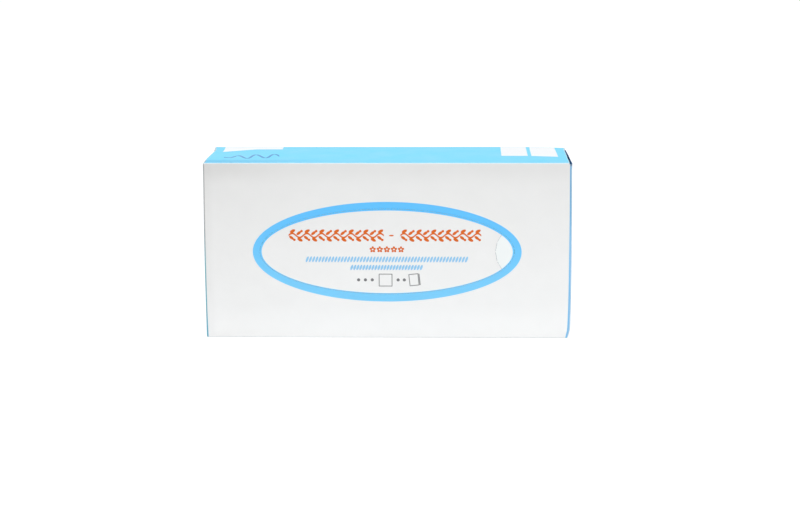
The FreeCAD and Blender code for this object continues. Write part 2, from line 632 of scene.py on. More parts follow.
# %% Group: bend at a crease
def make_bend_group():
    tree, given, out = open_group(
        "Bend At Crease", "GeometryNodeTree",
        {"Board": GEOMETRY, "Crease": VECTOR, "Outward": VECTOR, "Radius": FLOAT,
         "Angle": FLOAT, "Sheet From": FLOAT, "Sheet To": FLOAT},
        {"Board": GEOMETRY})
    up_from_sheet = join(tree, y=-1.0)
    offset = position_of(tree) - given["Crease"]
    past = calc("DOT_PRODUCT", offset, given["Outward"])
    above = calc("DOT_PRODUCT", offset, up_from_sheet)
    turned = calc("MINIMUM", past / given["Radius"], given["Angle"])
    straight = past - turned * given["Radius"]
    sine = calc("SINE", turned)
    cosine = calc("COSINE", turned)
    arm = given["Radius"] + above
    new_past = arm * sine + straight * cosine
    new_above = arm * cosine - (given["Radius"] + straight * sine)
    shift = scaled(given["Outward"], new_past - past) + scaled(up_from_sheet, new_above - above)

    flat_z = split(named(tree, "flat", "FLOAT_VECTOR"))[2]
    chosen = (flat_z > given["Sheet From"]) * (flat_z < given["Sheet To"]) * (past > 0.0)
    bent = calc("SINE", turned / given["Angle"] * math.pi)
    work = noted(tree, given["Board"], "fold", largest(named(tree, "fold"), bent),
                 "FLOAT", "POINT", chosen)
    feed(out, {"Board": moved(tree, work, shift, chosen)})
    return tree


bend_group = make_bend_group()
print("made", bend_group.name)

# %% [markdown]
# ## Handling marks
# After folding and gluing, the box is pressed here and there. Along the upper edge of the
# left end the board is pushed in at the back and stands off nearer the front. The right
# end is pressed in at its upper back corner and at the foot of its front edge. A dent is
# a push that fades with distance, like a bell curve, with its own reach along each axis.

# %% Group: soft dent
def make_dent_group():
    tree, given, out = open_group(
        "Soft Dent", "GeometryNodeTree",
        {"Board": GEOMETRY, "Middle": VECTOR, "Reach": VECTOR, "Push": VECTOR},
        {"Board": GEOMETRY})
    distance = calc("LENGTH", (position_of(tree) - given["Middle"]) / given["Reach"])
    fade = calc("EXPONENT", distance * distance * -1.0)
    feed(out, {"Board": moved(tree, given["Board"], scaled(given["Push"], fade))})
    return tree


dent_group = make_dent_group()
print("made", dent_group.name)

# %% [markdown]
# ## The folds, crowns and dents of this box
# Each fold, crown and dent is one row of values for its group. The outermost creases come
# first, while the sheet is still flat, because each later fold then carries the finished
# flaps along with it. One crease is a little askew, as on the real box, and a fold reaches
# a `hair` past its wall, so that no point on the wall's own edge is left behind.

# %% Values for the groups
Crown = namedtuple("Crown", "middle_x middle_z half_x half_z rise")
Fold = namedtuple("Fold", "crease outward sheet_from sheet_to")
Dent = namedtuple("Dent", "middle reach push")
far = 1.0
flap_crown_share = 1.05


def wall_crown(wall, rise):
    middle = (wall.start + wall.end) / 2
    return Crown(0.0, middle, wall.crease, (wall.end - wall.start) / 2, rise)


def flap_crown(wall, side, rise):
    start = wall.crease + fold_length
    return Crown(side * (start + wall.flap_end) / 2, (wall.start + wall.end) / 2,
                 (wall.flap_end - start) / 2 * flap_crown_share,
                 (wall.end - wall.start) / 2 * flap_crown_share, rise)


def dent(middle, reach, push):
    """A dent whose reach and push are given in millimetres."""
    return Dent(middle, Vector(reach) * MM, Vector(push) * MM)


crowns = [
    wall_crown(front, 0.45 * MM),
    wall_crown(top, 0.25 * MM),
    wall_crown(back, 0.45 * MM),
    flap_crown(front, 1, 0.65 * MM),
    flap_crown(front, -1, 0.30 * MM),
]
folds = []
for wall in walls:
    over_corner = fold_length + hair if wall in (front, back) else -hair
    for side in (1, -1):
        lean = math.atan2(crease_askew, wall.end - wall.start) if (wall, side) == (top, 1) else 0.0
        outward = (side * math.cos(lean), 0, -math.sin(lean))
        folds.append(Fold((side * wall.crease, front_y, wall.end), outward,
                          wall.start - over_corner, wall.end + over_corner))
for wall in (back, top, front):
    folds.append(Fold((0, front_y, wall.end), (0, 0, 1), wall.end, far))
folds.append(Fold((0, front_y, front.start), (0, 0, -1), -far, front.start))
dents = [
    dent((-length / 2, front_y, height), (30, 40, 45), (0.27, 0, 0)),
    dent((-length / 2, 16 * MM, height), (9, 10, 18), (1.1, 0, 0)),
    dent((-length / 2, -15 * MM, height), (9, 10, 6), (-0.75, 0, 0)),
    dent((length / 2, -24 * MM, height), (6, 6, 2), (0.45, 0, 0)),
    dent((length / 2, depth / 2, height), (30, 35, 18), (-1.5, 0, 0)),
    dent((length / 2, depth / 2, height), (14, 12, 10), (0, 0, -0.7)),
    dent((length / 2, front_y, 0), (4, 10, 3.4), (-1.4, 0, 0)),
    dent((length / 2, front_y, 4 * MM), (6, 12, 11), (-0.35, 0, 0)),
]
end_bow = 0.35 * MM
bow_middle = 0.4 * height
print(len(folds), "folds,", len(crowns), "crowns,", len(dents), "dents")

# %% [markdown]
# ## The whole job in one tree
# The tree reads like the factory's order of work: thickness, perforation, notes for the
# print, crowns and folds. The bow of the ends and the dents come last, when the box is
# closed and full.

# %% Build the tree
def make_carton_tree():
    tree, given, out = open_group(
        "Sealed Carton", "GeometryNodeTree",
        {"Sheet": GEOMETRY, "Board": FLOAT, "Fold Radius": FLOAT, "Oval Length": FLOAT,
         "Oval Height": FLOAT, "Slit Length": FLOAT, "Nick Length": FLOAT, "Slit Width": FLOAT,
         "Material": MATERIAL},
        {"Carton": GEOMETRY})
    half_board = front_y + board / 2
    perforation = {name: given[name] for name in ("Oval Length", "Oval Height", "Slit Length",
                                                  "Nick Length", "Slit Width")}
    perforation.update({"Centre": (oval_x, half_board, oval_z),
                        "Cut Depth": given["Board"] * 2.0,
                        "Tab Centre": (tab_centre_x, half_board, oval_z),
                        "Tab Radius": tab_radius, "Tab Half Angle": tab_half,
                        "Tab Slits": tab_slits})
    steps = [(perforation_group, perforation), (memory_group, {})]
    for crown in crowns:
        steps.append((crown_group, {"Middle": (crown.middle_x, front_y, crown.middle_z),
                                    "Half Size": (crown.half_x, 1.0, crown.half_z),
                                    "Rise": crown.rise}))
    for fold in folds:
        steps.append((bend_group, {"Crease": fold.crease, "Outward": fold.outward,
                                   "Radius": given["Fold Radius"], "Angle": math.pi / 2,
                                   "Sheet From": fold.sheet_from, "Sheet To": fold.sheet_to}))
    steps.append((bow_group, {"Half Length": length / 2, "Middle Height": bow_middle,
                              "Half Height": height - bow_middle, "Bow": end_bow}))
    for one in dents:
        steps.append((dent_group, {"Middle": one.middle, "Reach": one.reach, "Push": one.push}))

    work = use_group(tree, thickness_group, {"Sheet": given["Sheet"], "Board": given["Board"]})
    for group, values in steps:
        work = use_group(tree, group, {"Board": work, **values})
    real = place(tree, "GeometryNodeRealizeInstances", {0: work})
    feed(out, {"Carton": place(tree, "GeometryNodeSetMaterial",
                               {"Geometry": real, "Material": given["Material"]})})
    return tree


carton_tree = make_carton_tree()
print("nodes in the tree:", len(carton_tree.nodes))

# %% [markdown]
# ## Printing
# The print is drawn by the material, on the `blank` map, in millimetres. That keeps every
# edge sharp at any distance, and the design can be moved like on a press. Each shape is a
# distance: how far is this point from the edge of an oval or a bar. It is negative inside
# the shape. The two groups for it share their first step, which looks at the point from
# the shape's own middle and along its own axes. Two least values keep the oval's middle
# from a division by nought.

# %% Groups: distance to an oval and to a bar with round corners
least_reach = 0.001
least_slope = 0.0001


def from_own_middle(given):
    return place(given["Point"].tree, "ShaderNodeVectorRotate",
                 {"Vector": given["Point"] - given["Centre"], "Angle": given["Turn"]},
                 rotation_type="Z_AXIS")


def make_oval_group():
    tree, given, out = open_group(
        "Oval Distance", "ShaderNodeTree",
        {"Point": VECTOR, "Centre": VECTOR, "Half Size": VECTOR, "Turn": FLOAT},
        {"Distance": FLOAT})
    in_radii = from_own_middle(given) / given["Half Size"]
    reach = largest(calc("LENGTH", in_radii), least_reach)
    slope = largest(calc("LENGTH", in_radii / given["Half Size"]), least_slope)
    feed(out, {"Distance": (reach - 1.0) * reach / slope})
    return tree


def make_bar_group():
    tree, given, out = open_group(
        "Bar Distance", "ShaderNodeTree",
        {"Point": VECTOR, "Centre": VECTOR, "Half Size": VECTOR, "Corner": FLOAT, "Turn": FLOAT},
        {"Distance": FLOAT})
    x, y, z = split(abs(from_own_middle(given)))
    half_x, half_y, half_z = split(given["Half Size"])
    over_x = x - half_x + given["Corner"]
    over_y = y - half_y + given["Corner"]
    outside = calc("LENGTH", join(tree, largest(over_x, 0.0), largest(over_y, 0.0)))
    inside = calc("MINIMUM", largest(over_x, over_y), 0.0)
    feed(out, {"Distance": outside + inside - given["Corner"]})
    return tree


oval_group = make_oval_group()
bar_group = make_bar_group()
print("made", oval_group.name, "and", bar_group.name)

# %% [markdown]
# A distance becomes ink through one group that also roughens the edge a little, as ink
# does on board. Scales of noise are in waves per millimetre.

# %% Group: ink from a distance
ink_edge_scale = 5.0


def noise_at(point, scale, detail=2.0, roughness=0.5):
    return place(point.tree, "ShaderNodeTexNoise",
                 {"Vector": point, "Scale": scale, "Detail": detail, "Roughness": roughness}, "Fac")


def make_ink_group():
    tree, given, out = open_group(
        "Ink Edge", "ShaderNodeTree",
        {"Point": VECTOR, "Distance": FLOAT, "Raggedness": FLOAT, "Softness": FLOAT},
        {"Ink": FLOAT})
    noise = noise_at(given["Point"], ink_edge_scale)
    edge = given["Distance"] + (noise - 0.5) * given["Raggedness"]
    ink = 0.5 - edge / given["Softness"]
    feed(out, {"Ink": place(tree, "ShaderNodeClamp", {"Value": ink})})
    return tree


ink_group = make_ink_group()
print("made", ink_group.name)

# %% [markdown]
# Small ornaments stand in rows. The next group cuts a row into equal cells and gives the
# point's place in its own cell, so that a motif drawn once appears in all of them. It
# also tells every second cell apart.

# %% Group: the same motif again and again
def make_repeat_group():
    tree, given, out = open_group(
        "Repeat Along Row", "ShaderNodeTree",
        {"Point": VECTOR, "Start": VECTOR, "Pitch": FLOAT, "Count": FLOAT},
        {"Point": VECTOR, "Odd": FLOAT, "In Row": FLOAT})
    x, y, z = split(given["Point"] - given["Start"])
    cells = x / given["Pitch"]
    within = (calc("FRACT", cells) - 0.5) * given["Pitch"]
    feed(out, {"Point": join(tree, within, y),
               "Odd": calc("FLOORED_MODULO", calc("FLOOR", cells), 2.0),
               "In Row": (cells > 0.0) * (cells < given["Count"])})
    return tree


repeat_group = make_repeat_group()
print("made", repeat_group.name)

# %% [markdown]
# ## Board and varnish
# Under the ink the board has its own life: fibres that run along the sheet and a faint
# cloudiness of the coating. Where a fold has stretched the ink, it cracks in patches, and
# the same whitening also stands for a painted highlight along the fold's rounding. Each of
# these effects is a group, so that another finish could use it with other values.

# %% Groups: fibres of the board, and cracked ink with a painted highlight on a fold
fibre_stretch = (0.35, 1.0, 1.0)
cloud_scale = 0.06
crack_scale = 1.4
patch_scale = 0.09
crack_share = 0.6


def make_fibre_group():
    tree, given, out = open_group(
        "Board Fibres", "ShaderNodeTree", {"Point": VECTOR, "Scale": FLOAT},
        {"Clouds": FLOAT, "Height": FLOAT})
    stretched = given["Point"] * fibre_stretch
    feed(out, {"Clouds": noise_at(given["Point"], cloud_scale, 3.0),
               "Height": noise_at(stretched, given["Scale"], 4.0, 0.6)})
    return tree


def make_wear_and_highlight_group():
    tree, given, out = open_group(
        "Fold Wear And Highlight", "ShaderNodeTree", {"Point": VECTOR, "Fold": FLOAT, "Amount": FLOAT},
        {"Whitened": FLOAT})
    cracks = noise_at(given["Point"], crack_scale, 5.0, 0.7)
    patches = noise_at(given["Point"], patch_scale)
    uneven = cracks * crack_share + patches * (1.0 - crack_share)
    # The whitening is cracked ink and also a painted highlight on the fold's rounding.
    whitened = given["Fold"] * given["Fold"] * given["Amount"] * uneven
    feed(out, {"Whitened": place(tree, "ShaderNodeClamp", {"Value": whitened})})
    return tree


fibre_group = make_fibre_group()
wear_and_highlight_group = make_wear_and_highlight_group()
print("made", fibre_group.name, "and", wear_and_highlight_group.name)

# %% [markdown]
# ## Inks
# Colours are written as they look on the printed board and turned into the linear values
# that Blender mixes. Sky blue is the ground of the whole sheet. The end flaps are a deeper
# blue, partly painted shade, with a navy band of painted shadow, and the two fold colours
# are painted shade on the left fold's rounding.

# %% Inks
def ink(red, green, blue):
    """A printed colour, given as it looks, as the linear colour that shaders use."""
    linear = []
    for value in (red, green, blue):
        share = value / 255
        linear.append(share / 12.92 if share <= 0.04045 else ((share + 0.055) / 1.055) ** 2.4)
    return (*linear, 1.0)


sky_blue = ink(87, 205, 242)
ring_low = ink(126, 210, 255)
ring_high = ink(96, 195, 255)
# Light and dark ends of the silver; the mix between them is painted shade.
silver_low = ink(253, 254, 254)
silver_high = ink(214, 214, 213)
tab_white = ink(243, 248, 248)
field_white = ink(233, 236, 239)
orange = ink(217, 99, 4)
pale_blue = ink(148, 203, 241)
line_grey = ink(120, 121, 123)
deep_blue = ink(14, 130, 196)
# Painted shade for the dip beside the front crease.
crease_shade_blue = ink(0, 150, 202)
# A deeper blue for the ends, partly painted shade, lighter towards the foot as painted shade.
end_blue = ink(110, 172, 214)
end_blue_low = ink(132, 196, 240)
# Painted shadow for the dark gaps between the flaps at the ends.
shadow_navy = ink(14, 80, 130)
# Painted shade for the left fold's rounding, which turns away from the light.
fold_shade_grey = ink(118, 120, 124)
fold_shade_teal = ink(66, 160, 174)
board_edge = ink(236, 235, 231)
# The inner side: a dark blue-grey, partly the board's own back and partly painted shade for the gaps
# between the flaps.
board_back_and_shade = ink(70, 104, 142)
# Cracked ink on the folds, and a painted highlight along their rounding.
cracked_white_and_highlight = ink(238, 246, 249)
print("orange in linear values:", [round(value, 3) for value in orange])

# %% [markdown]
# A `Printer` holds the colour that is on the board so far and lays one ink after another
# over it. A shape's distance turns into a mask, a mask says where the ink goes, and
# `share` is for what changes slowly from one place to another. A Mix node has sockets for
# every kind of value, some with the same name, so those for colours are taken by number.

# %% Painter: masks and layers for one material
MIX_FACTOR, MIX_FIRST, MIX_SECOND, MIX_RESULT = 0, 6, 7, 2


class Printer:
    """Lays inks over each other in a material, by the millimetres of the blank map."""

    def __init__(self, tree, first_colour):
        self.tree = tree
        self.point = place(tree, "ShaderNodeUVMap", {}, uv_map="blank")
        self.x, self.y, unused = split(self.point)
        self.colour = first_colour

    def distance_to_oval(self, centre, half_size, turn=0.0, point=None):
        return use_group(self.tree, oval_group,
                         {"Point": point or self.point, "Centre": (*centre, 0),
                          "Half Size": (*half_size, 1), "Turn": turn})

    def distance_to_bar(self, centre, half_size, corner=0.0, turn=0.0):
        return use_group(self.tree, bar_group,
                         {"Point": self.point, "Centre": (*centre, 0),
                          "Half Size": (*half_size, 0), "Corner": corner, "Turn": turn})

    def repeat(self, start, pitch, count, point=None):
        """A row of equal cells: the point in its cell, whether the cell is odd or in the row."""
        return wires(place_node(self.tree, "ShaderNodeGroup",
                                {"Point": point or self.point, "Start": (*start, 0),
                                 "Pitch": pitch, "Count": count},
                                node_tree=repeat_group).outputs)

    def mask(self, distance, ragged=0.08, soft=0.12):
        return use_group(self.tree, ink_group,
                         {"Point": self.point, "Distance": distance, "Raggedness": ragged,
                          "Softness": soft})

    def share(self, value, from_low, from_high, to_low=0.0, to_high=1.0):
        """Where a value lies between two others, smoothly."""
        return place(self.tree, "ShaderNodeMapRange",
                     {"Value": value, "From Min": from_low, "From Max": from_high,
                      "To Min": to_low, "To Max": to_high}, interpolation_type="SMOOTHSTEP")

    def blend(self, share, first, second):
        """A mix of two colours."""
        return place(self.tree, "ShaderNodeMix",
                     {MIX_FACTOR: share, MIX_FIRST: first, MIX_SECOND: second}, MIX_RESULT,
                     data_type="RGBA")

    def lay(self, colour, mask):
        """One more ink over what is there."""
        self.colour = self.blend(mask, self.colour, colour)


print("printer ready")

# %% [markdown]
# ## Ends
# The end flaps are a deeper blue than the walls, partly as painted shade, and lighter
# towards the foot as painted shade. A navy band of painted shadow runs along their upper
# edge, where the gaps between the flaps are dark. That blue also lies under the silver
# field of the front panel, and shows where the field stops short of a fold. From here on
# all places are in millimetres on the blank map.

# %% Ends: deeper blue and navy bands of painted shadow
front_low = front.start / MM
front_high = front.end / MM
field_right = 113.4
under_field = 2.0
# The deeper blue lightens towards the foot as painted shade.
end_blue_painted_fade = (95.0, 55.0)
flaps_from_crease = 0.3
band_low = 110.3
band_from_front = 36.0
band_starts_left = -115.7
band_starts_right = 113.9
band_half_width = 100.0


def on_top(from_front):
    """Place on the blank map of a point of the top wall, so many millimetres from the front."""
    return (front.end + fold_length - fold_radius) / MM + from_front


def print_ends(printer):
    """The end flaps get a deeper blue, partly painted shade, and lighter towards the foot as painted
    shade. On the front panel it reaches inwards under the field.
    """
    from_middle = abs(printer.x)
    blue = printer.blend(printer.share(printer.y, *end_blue_painted_fade), end_blue, end_blue_low)
    flaps_start = (end_crease(outer_layer) + flaps_from_crease * fold_length) / MM
    printer.lay(blue, printer.mask(flaps_start - from_middle, ragged=0.1, soft=0.4))
    beside = largest(field_right - under_field - from_middle, printer.y - front_high,
                     front_low - printer.y)
    printer.lay(blue, printer.mask(beside))


def print_shadow_bands(printer):
    """A navy band of painted shadow along the upper edge of both ends, where the gaps between the flaps
    are dark; at the right it reaches round the fold.
    """
    high = on_top(band_from_front)
    half_size = (band_half_width, (high - band_low) / 2)
    for x in (band_starts_right + band_half_width, band_starts_left - band_half_width):
        band = printer.distance_to_bar((x, (band_low + high) / 2), half_size)
        printer.lay(shadow_navy, printer.mask(band, ragged=0.05, soft=0.2))


print("navy bands are", round(on_top(band_from_front) - band_low, 1), "mm high on the flat sheet")

# %% [markdown]
# ## Front panel
# The front panel has a light silver field, printed a fraction of a degree askew: press
# sheets are never cut and creased perfectly true. Its grey carries painted shade. A number
# adds up a slow rise and painted shade and light near the edges, and mixes the light
# silver with the dark one.

# %% Front panel: silver field with painted shade
middle_x = oval_x / MM
middle_z = oval_z / MM
field_left = -114.75
left_lean = math.radians(-0.95)
right_lean = math.radians(0.25)
field_up_the_fold = 0.45
beyond_panel = (150.0, 200.0)
# Each band adds painted shade to the silver, or painted light where its change is below nought.
PaintedShade = namedtuple("PaintedShade", "start end change")
painted_shade_rise = 0.52
painted_shade_at_foot = 0.0875
foot_painted_light = PaintedShade(24.0, 8.0, -0.1)
brow_painted_shade = PaintedShade(97.0, 109.0, 0.11)
left_painted_shade = PaintedShade(-20.0, -118.0, 0.10)
rim_painted_shade = PaintedShade(-108.0, -112.5, 0.09)
corner_painted_shade = PaintedShade(-52.0, -112.0, 0.13)
corner_from, corner_to = 97.0, 110.0


def silver_painted_shade(printer):
    """How dark the silver is painted: painted shade deepens it upwards and to the left, most in the
    upper left corner, and painted light brightens its foot.
    """
    total = printer.y * (painted_shade_rise / (height / MM)) + painted_shade_at_foot
    for along, tone in ((printer.y, foot_painted_light), (printer.y, brow_painted_shade), (printer.x, left_painted_shade),
                        (printer.x, rim_painted_shade)):
        total = total + printer.share(along, tone.start, tone.end, 0.0, tone.change)
    corner = printer.share(printer.x, corner_painted_shade.start, corner_painted_shade.end, 0.0, corner_painted_shade.change)
    return total + corner * printer.share(printer.y, corner_from, corner_to)


def print_front_field(printer):
    """The silver field, whose left and right edges each lean by their own small angle."""
    wide = beyond_panel[0]
    right = printer.distance_to_bar((field_right - wide, middle_z), beyond_panel, turn=right_lean)
    left = printer.distance_to_bar((field_left + wide, middle_z), beyond_panel, turn=left_lean)
    below = (fold_radius - fold_length) / MM - printer.y
    above = printer.y - (front.end + field_up_the_fold * fold_length) / MM
    # The mix of the silver is painted shade and painted light.
    silver = printer.blend(silver_painted_shade(printer), silver_low, silver_high)
    printer.lay(silver, printer.mask(largest(right, left, below, above)))


print("silver field is", round(field_right - field_left, 2), "mm wide")

# %% [markdown]
# A blue ring surrounds the tear line: it is what lies outside one oval and inside another.
# The thumb tab is where a circle and the inner oval overlap, and down the left fold runs a
# thin line of painted shade, where its rounding turns away from the light.

# %% Ring, thumb tab and painted shade on the left fold
ring_z = 55.75
ring_outer = (84.3, 32.0)
ring_inner = (78.7, 26.5)
tab_centre = (tab_centre_x / MM, middle_z)
tab_half_size = (tab_radius / MM, tab_radius / MM)
# Where the painted shade down the left fold lies, and how strong it is.
fold_shade_outer_edge = (-115.3, -114.9)
fold_shade_inner_edge = (-113.9, -114.3)
fold_shade_turns_teal = (75.0, 45.0)
fold_shade_strength = (85.0, 45.0, 0.55, 0.8)


def print_ring(printer):
    """The blue ring. Gives back the distance to its inner edge."""
    outer = printer.distance_to_oval((middle_x, ring_z), ring_outer)
    inner = printer.distance_to_oval((middle_x, ring_z), ring_inner)
    upwards = printer.share(printer.y, ring_z - ring_outer[1], ring_z + ring_outer[1])
    blue = printer.blend(upwards, ring_low, ring_high)
    printer.lay(blue, printer.mask(largest(outer, inner * -1.0)))
    return inner


def print_thumb_tab(printer, inner):
    arc = printer.distance_to_oval(tab_centre, tab_half_size)
    tab = largest(arc, inner, middle_x - printer.x)
    printer.lay(tab_white, printer.mask(tab, ragged=0.05, soft=0.3))


def print_shaded_fold(printer):
    """A thin line of painted shade down the left fold, grey above and teal below."""
    line = (printer.share(printer.x, *fold_shade_inner_edge)
            * printer.share(printer.x, *fold_shade_outer_edge))
    shade_colour = printer.blend(printer.share(printer.y, *fold_shade_turns_teal), fold_shade_grey, fold_shade_teal)
    strength = printer.share(printer.y, *fold_shade_strength)
    printer.lay(shade_colour, line * (printer.y < front_high) * strength)


print("ring band is", round(ring_outer[0] - ring_inner[0], 2), "mm wide")

# %% [markdown]
# ## Ornaments
# Inside the ring stand rows of plain ornaments: two lengths of a leafy vine with a bead
# between them, a short row of blossoms, and two rows of slanted grains. Every second cell
# of the vine is turned upside down, which makes the stem swing and the leaves change
# sides.

# %% Front panel: vine, blossoms and grains
Leaf = namedtuple("Leaf", "middle half_size turn")
Row = namedtuple("Row", "colour start pitch count half_size")
vine_z = 66.3
vine_pitch = 4.6
vine_swing = 1.35
stem_width = 1.0
stem_slope_share = 0.85
leaves = [Leaf((0.25, 2.75), (1.8, 0.95), math.radians(-28)),
          Leaf((-0.45, -1.5), (1.75, 0.88), math.radians(38)),
          Leaf((1.3, -2.8), (0.8, 0.8), 0.0)]
vines = ((-61.9, 13), (8.2, 11))
bead = Row(orange, (1.0, vine_z), 3.2, 1, (1.5, 0.5))
blossoms = Row(orange, (-11.4, 57.4), 4.44, 5, (0.8, 0.7))
petal_count = 5
petal_from_middle = 1.25
slanted_rows = [Row(pale_blue, (-51.4, 51.0), 2.0, 51, (0.7, 2.0)),
                Row(pale_blue, (-23.4, 45.8), 1.9, 24, (0.74, 1.8))]
slant = math.radians(22)


def print_vine(printer, start, count):
    """A wavy stem whose leaves and berries change sides with every half wave."""
    row = printer.repeat((start, vine_z), vine_pitch, count)
    x, y, z = split(row["Point"])
    y = y * (1.0 - row["Odd"] * 2.0)
    point = join(printer.tree, x, y)
    stem = calc("COSINE", x * (math.pi / vine_pitch)) * vine_swing
    shape = abs(y - stem) * stem_slope_share - stem_width / 2
    for leaf in leaves:
        shape = calc("MINIMUM", shape,
                     printer.distance_to_oval(leaf.middle, leaf.half_size, leaf.turn, point))
    printer.lay(orange, printer.mask(shape) * row["In Row"])


def print_blossoms(printer):
    """Small flowers: one petal is drawn, and a fold of the plane shows it all around."""
    row = printer.repeat(blossoms.start, blossoms.pitch, blossoms.count)
    x, y, z = split(row["Point"])
    from_middle = calc("LENGTH", row["Point"])
    angle = calc("PINGPONG", calc("ARCTAN2", x, y), math.pi / petal_count)
    point = join(printer.tree, from_middle * calc("COSINE", angle),
                 from_middle * calc("SINE", angle))
    petal = printer.distance_to_oval((petal_from_middle, 0.0), blossoms.half_size, point=point)
    printer.lay(blossoms.colour, printer.mask(petal) * row["In Row"])


def print_grains(printer, grains, turn=0.0):
    """A row of small ovals."""
    row = printer.repeat(grains.start, grains.pitch, grains.count)
    distance = printer.distance_to_oval((0, 0), grains.half_size, turn, row["Point"])
    printer.lay(grains.colour, printer.mask(distance) * row["In Row"])


def print_ornaments(printer):
    for start, count in vines:
        print_vine(printer, start, count)
    print_grains(printer, bead)
    print_blossoms(printer)
    for row in slanted_rows:
        print_grains(printer, row, slant)


print("the vines have", sum(count for start, count in vines), "half waves")

# %% [markdown]
# Below them stand the outline of a flat sheet and that of a folded one, leaning a little,
# with the side of its fold beside it. Each has a short row of dots before it.

# %% Front panel: plain outlines and dots
outline_width = 0.5
sheet_lean = math.radians(-6)
flat_outline = ((-1.25, 37.65), (4.3, 4.1), 0.3)
folded_outline = ((16.6, 37.9), (3.1, 3.9), 0.3, sheet_lean)
fold_side = ((20.1, 38.2), (0.3, 3.7), 0.2, sheet_lean)
dot_rows = [Row(line_grey, (-20.4, 37.8), 4.3, 3, (1.0, 1.0)),
            Row(line_grey, (4.7, 37.8), 3.9, 2, (1.0, 1.0))]


def print_outlines(printer):
    for shape in (flat_outline, folded_outline):
        inwards = printer.distance_to_bar(*shape) + outline_width / 2
        printer.lay(line_grey, printer.mask(abs(inwards) - outline_width / 2))
    printer.lay(line_grey, printer.mask(printer.distance_to_bar(*fold_side)))
    for row in dot_rows:
        print_grains(printer, row)


print("dots:", sum(row.count for row in dot_rows))

# %% [markdown]
# ## Top wall and back panel
# The top wall has three bare white fields that run to the back edge, and one thin wavy
# line that climbs to the right and swings wider as it goes. The back panel has a plain
# silver field with painted shade, darker towards the top.

# %% Top wall: bare fields, painted shade at the crease and a wavy line
Field = namedtuple("Field", "left right near_left near_right slant_end")
top_fields = [Field(-107.5, -69.4, 40.0, 49.5, -86.0), Field(71.6, 88.4, 24.8, 24.8, 88.4),
              Field(90.8, 107.6, 24.6, 22.0, 107.6)]
fields_end = 58.6
# Where the painted shade beside the front crease lies, and how strong it is.
crease_shade_middle = 5.0
crease_shade_fades = (9.0, 1.0)
crease_shade_along = (-20.0, -112.0, 0.08, 0.5)
crease_shade_starts = 0.3
wave_start = (-104.0, on_top(20.0))
wave_climb = math.radians(7)
wave_length = 11.7
wave_count = 3
wave_width = 1.9
first_swing, full_swing = 1.5, 6.0
swing_grows_over = 16.0


def print_top_fields(printer):
    beyond = printer.y - on_top(fields_end)
    for field in top_fields:
        aside = (abs(printer.x - (field.left + field.right) / 2)
                 - (field.right - field.left) / 2)
        near_edge = place(printer.tree, "ShaderNodeMapRange",
                          {"Value": printer.x, "From Min": field.left,
                           "From Max": field.slant_end, "To Min": on_top(field.near_left),
                           "To Max": on_top(field.near_right)})
        shape = largest(aside, near_edge - printer.y, beyond)
        printer.lay(field_white, printer.mask(shape))


def print_crease_shade(printer):
    """Painted shade: a deeper blue in the shallow dip beside the front crease, mostly at the left."""
    away = abs(printer.y - on_top(crease_shade_middle))
    strength = (printer.share(away, *crease_shade_fades)
                * printer.share(printer.x, *crease_shade_along))
    printer.lay(crease_shade_blue, strength * (printer.y > on_top(crease_shade_starts)))


def print_wavy_line(printer):
    """A thin wave. Its distance is measured across the line, so it stays evenly wide."""
    turned = place(printer.tree, "ShaderNodeVectorRotate",
                   {"Vector": printer.point, "Center": (*wave_start, 0), "Angle": -wave_climb},
                   rotation_type="Z_AXIS")
    row = printer.repeat(wave_start, wave_length, wave_count, turned)
    swing = printer.share(split(turned)[0], wave_start[0], wave_start[0] + swing_grows_over,
                          first_swing, full_swing)
    x, y, z = split(row["Point"])
    around = 2 * math.pi / wave_length
    off_line = abs(y - calc("SINE", x * around) * swing)
    slope = calc("COSINE", x * around) * (swing * around)
    distance = off_line / calc("SQRT", slope * slope + 1.0) - wave_width / 2
    printer.lay(deep_blue, printer.mask(distance) * row["In Row"])


print(len(top_fields), "bare fields on the top wall")

# %% Back panel: a silver field with painted shade
back_low = back.start / MM
back_high = back.end / MM
past_fold = 0.4
back_corner = 0.5
back_painted_shade = (back_high + 15.0, back_low - 40.0)


def print_back_field(printer):
    middle = (0.0, (back_low + back_high) / 2)
    half_size = (field_right, (back_high - back_low) / 2 + past_fold)
    # Painted shade: the silver darkens towards the top of the back panel.
    silver = printer.blend(printer.share(printer.y, *back_painted_shade), silver_low, silver_high)
    printer.lay(silver, printer.mask(printer.distance_to_bar(middle, half_size, back_corner)))


print("back panel is", round(back_high - back_low, 1), "mm high between its folds")

# %% [markdown]
# ## The printed, varnished board
# All of it comes together in one material. Ink and board mix by the attribute `bare`,
# folds whiten by the attribute `fold`, as cracked ink and as a painted highlight, and a
# thin coat of varnish gives the sheen. The cut edges at the open corner are painted navy as
# shadow, and the inner side is a dark blue-grey that is partly painted shade. The bump is
# tiny: board is smooth, and its fibres only break up the highlights.

# %% Material: printed carton board
fold_wear_and_highlight = 1.15
fibre_scale = 2.2
cloud_depth = 0.05
cloud_low, cloud_high = 0.3, 0.7
varnish_smooth, varnish_rough = 0.34, 0.42
bare_roughness = 0.9
fibre_strength = 0.05
fibre_height = 0.0002
varnish_ior = 1.5
varnish_shine = 0.25


def cleared_tree(owner):
    """The node tree of a material or a world, without the nodes it starts with."""
    owner.use_nodes = True
    owner.node_tree.nodes.clear()
    return owner.node_tree


def attribute(tree, name):
    return place(tree, "ShaderNodeAttribute", {}, "Fac", attribute_name=name)


def print_carton(printer):
    """All inks, in the order of the press."""
    print_ends(printer)
    print_front_field(printer)
    print_shadow_bands(printer)
    print_thumb_tab(printer, print_ring(printer))
    print_ornaments(printer)
    print_outlines(printer)
    print_crease_shade(printer)
    print_top_fields(printer)
    print_wavy_line(printer)
    print_back_field(printer)


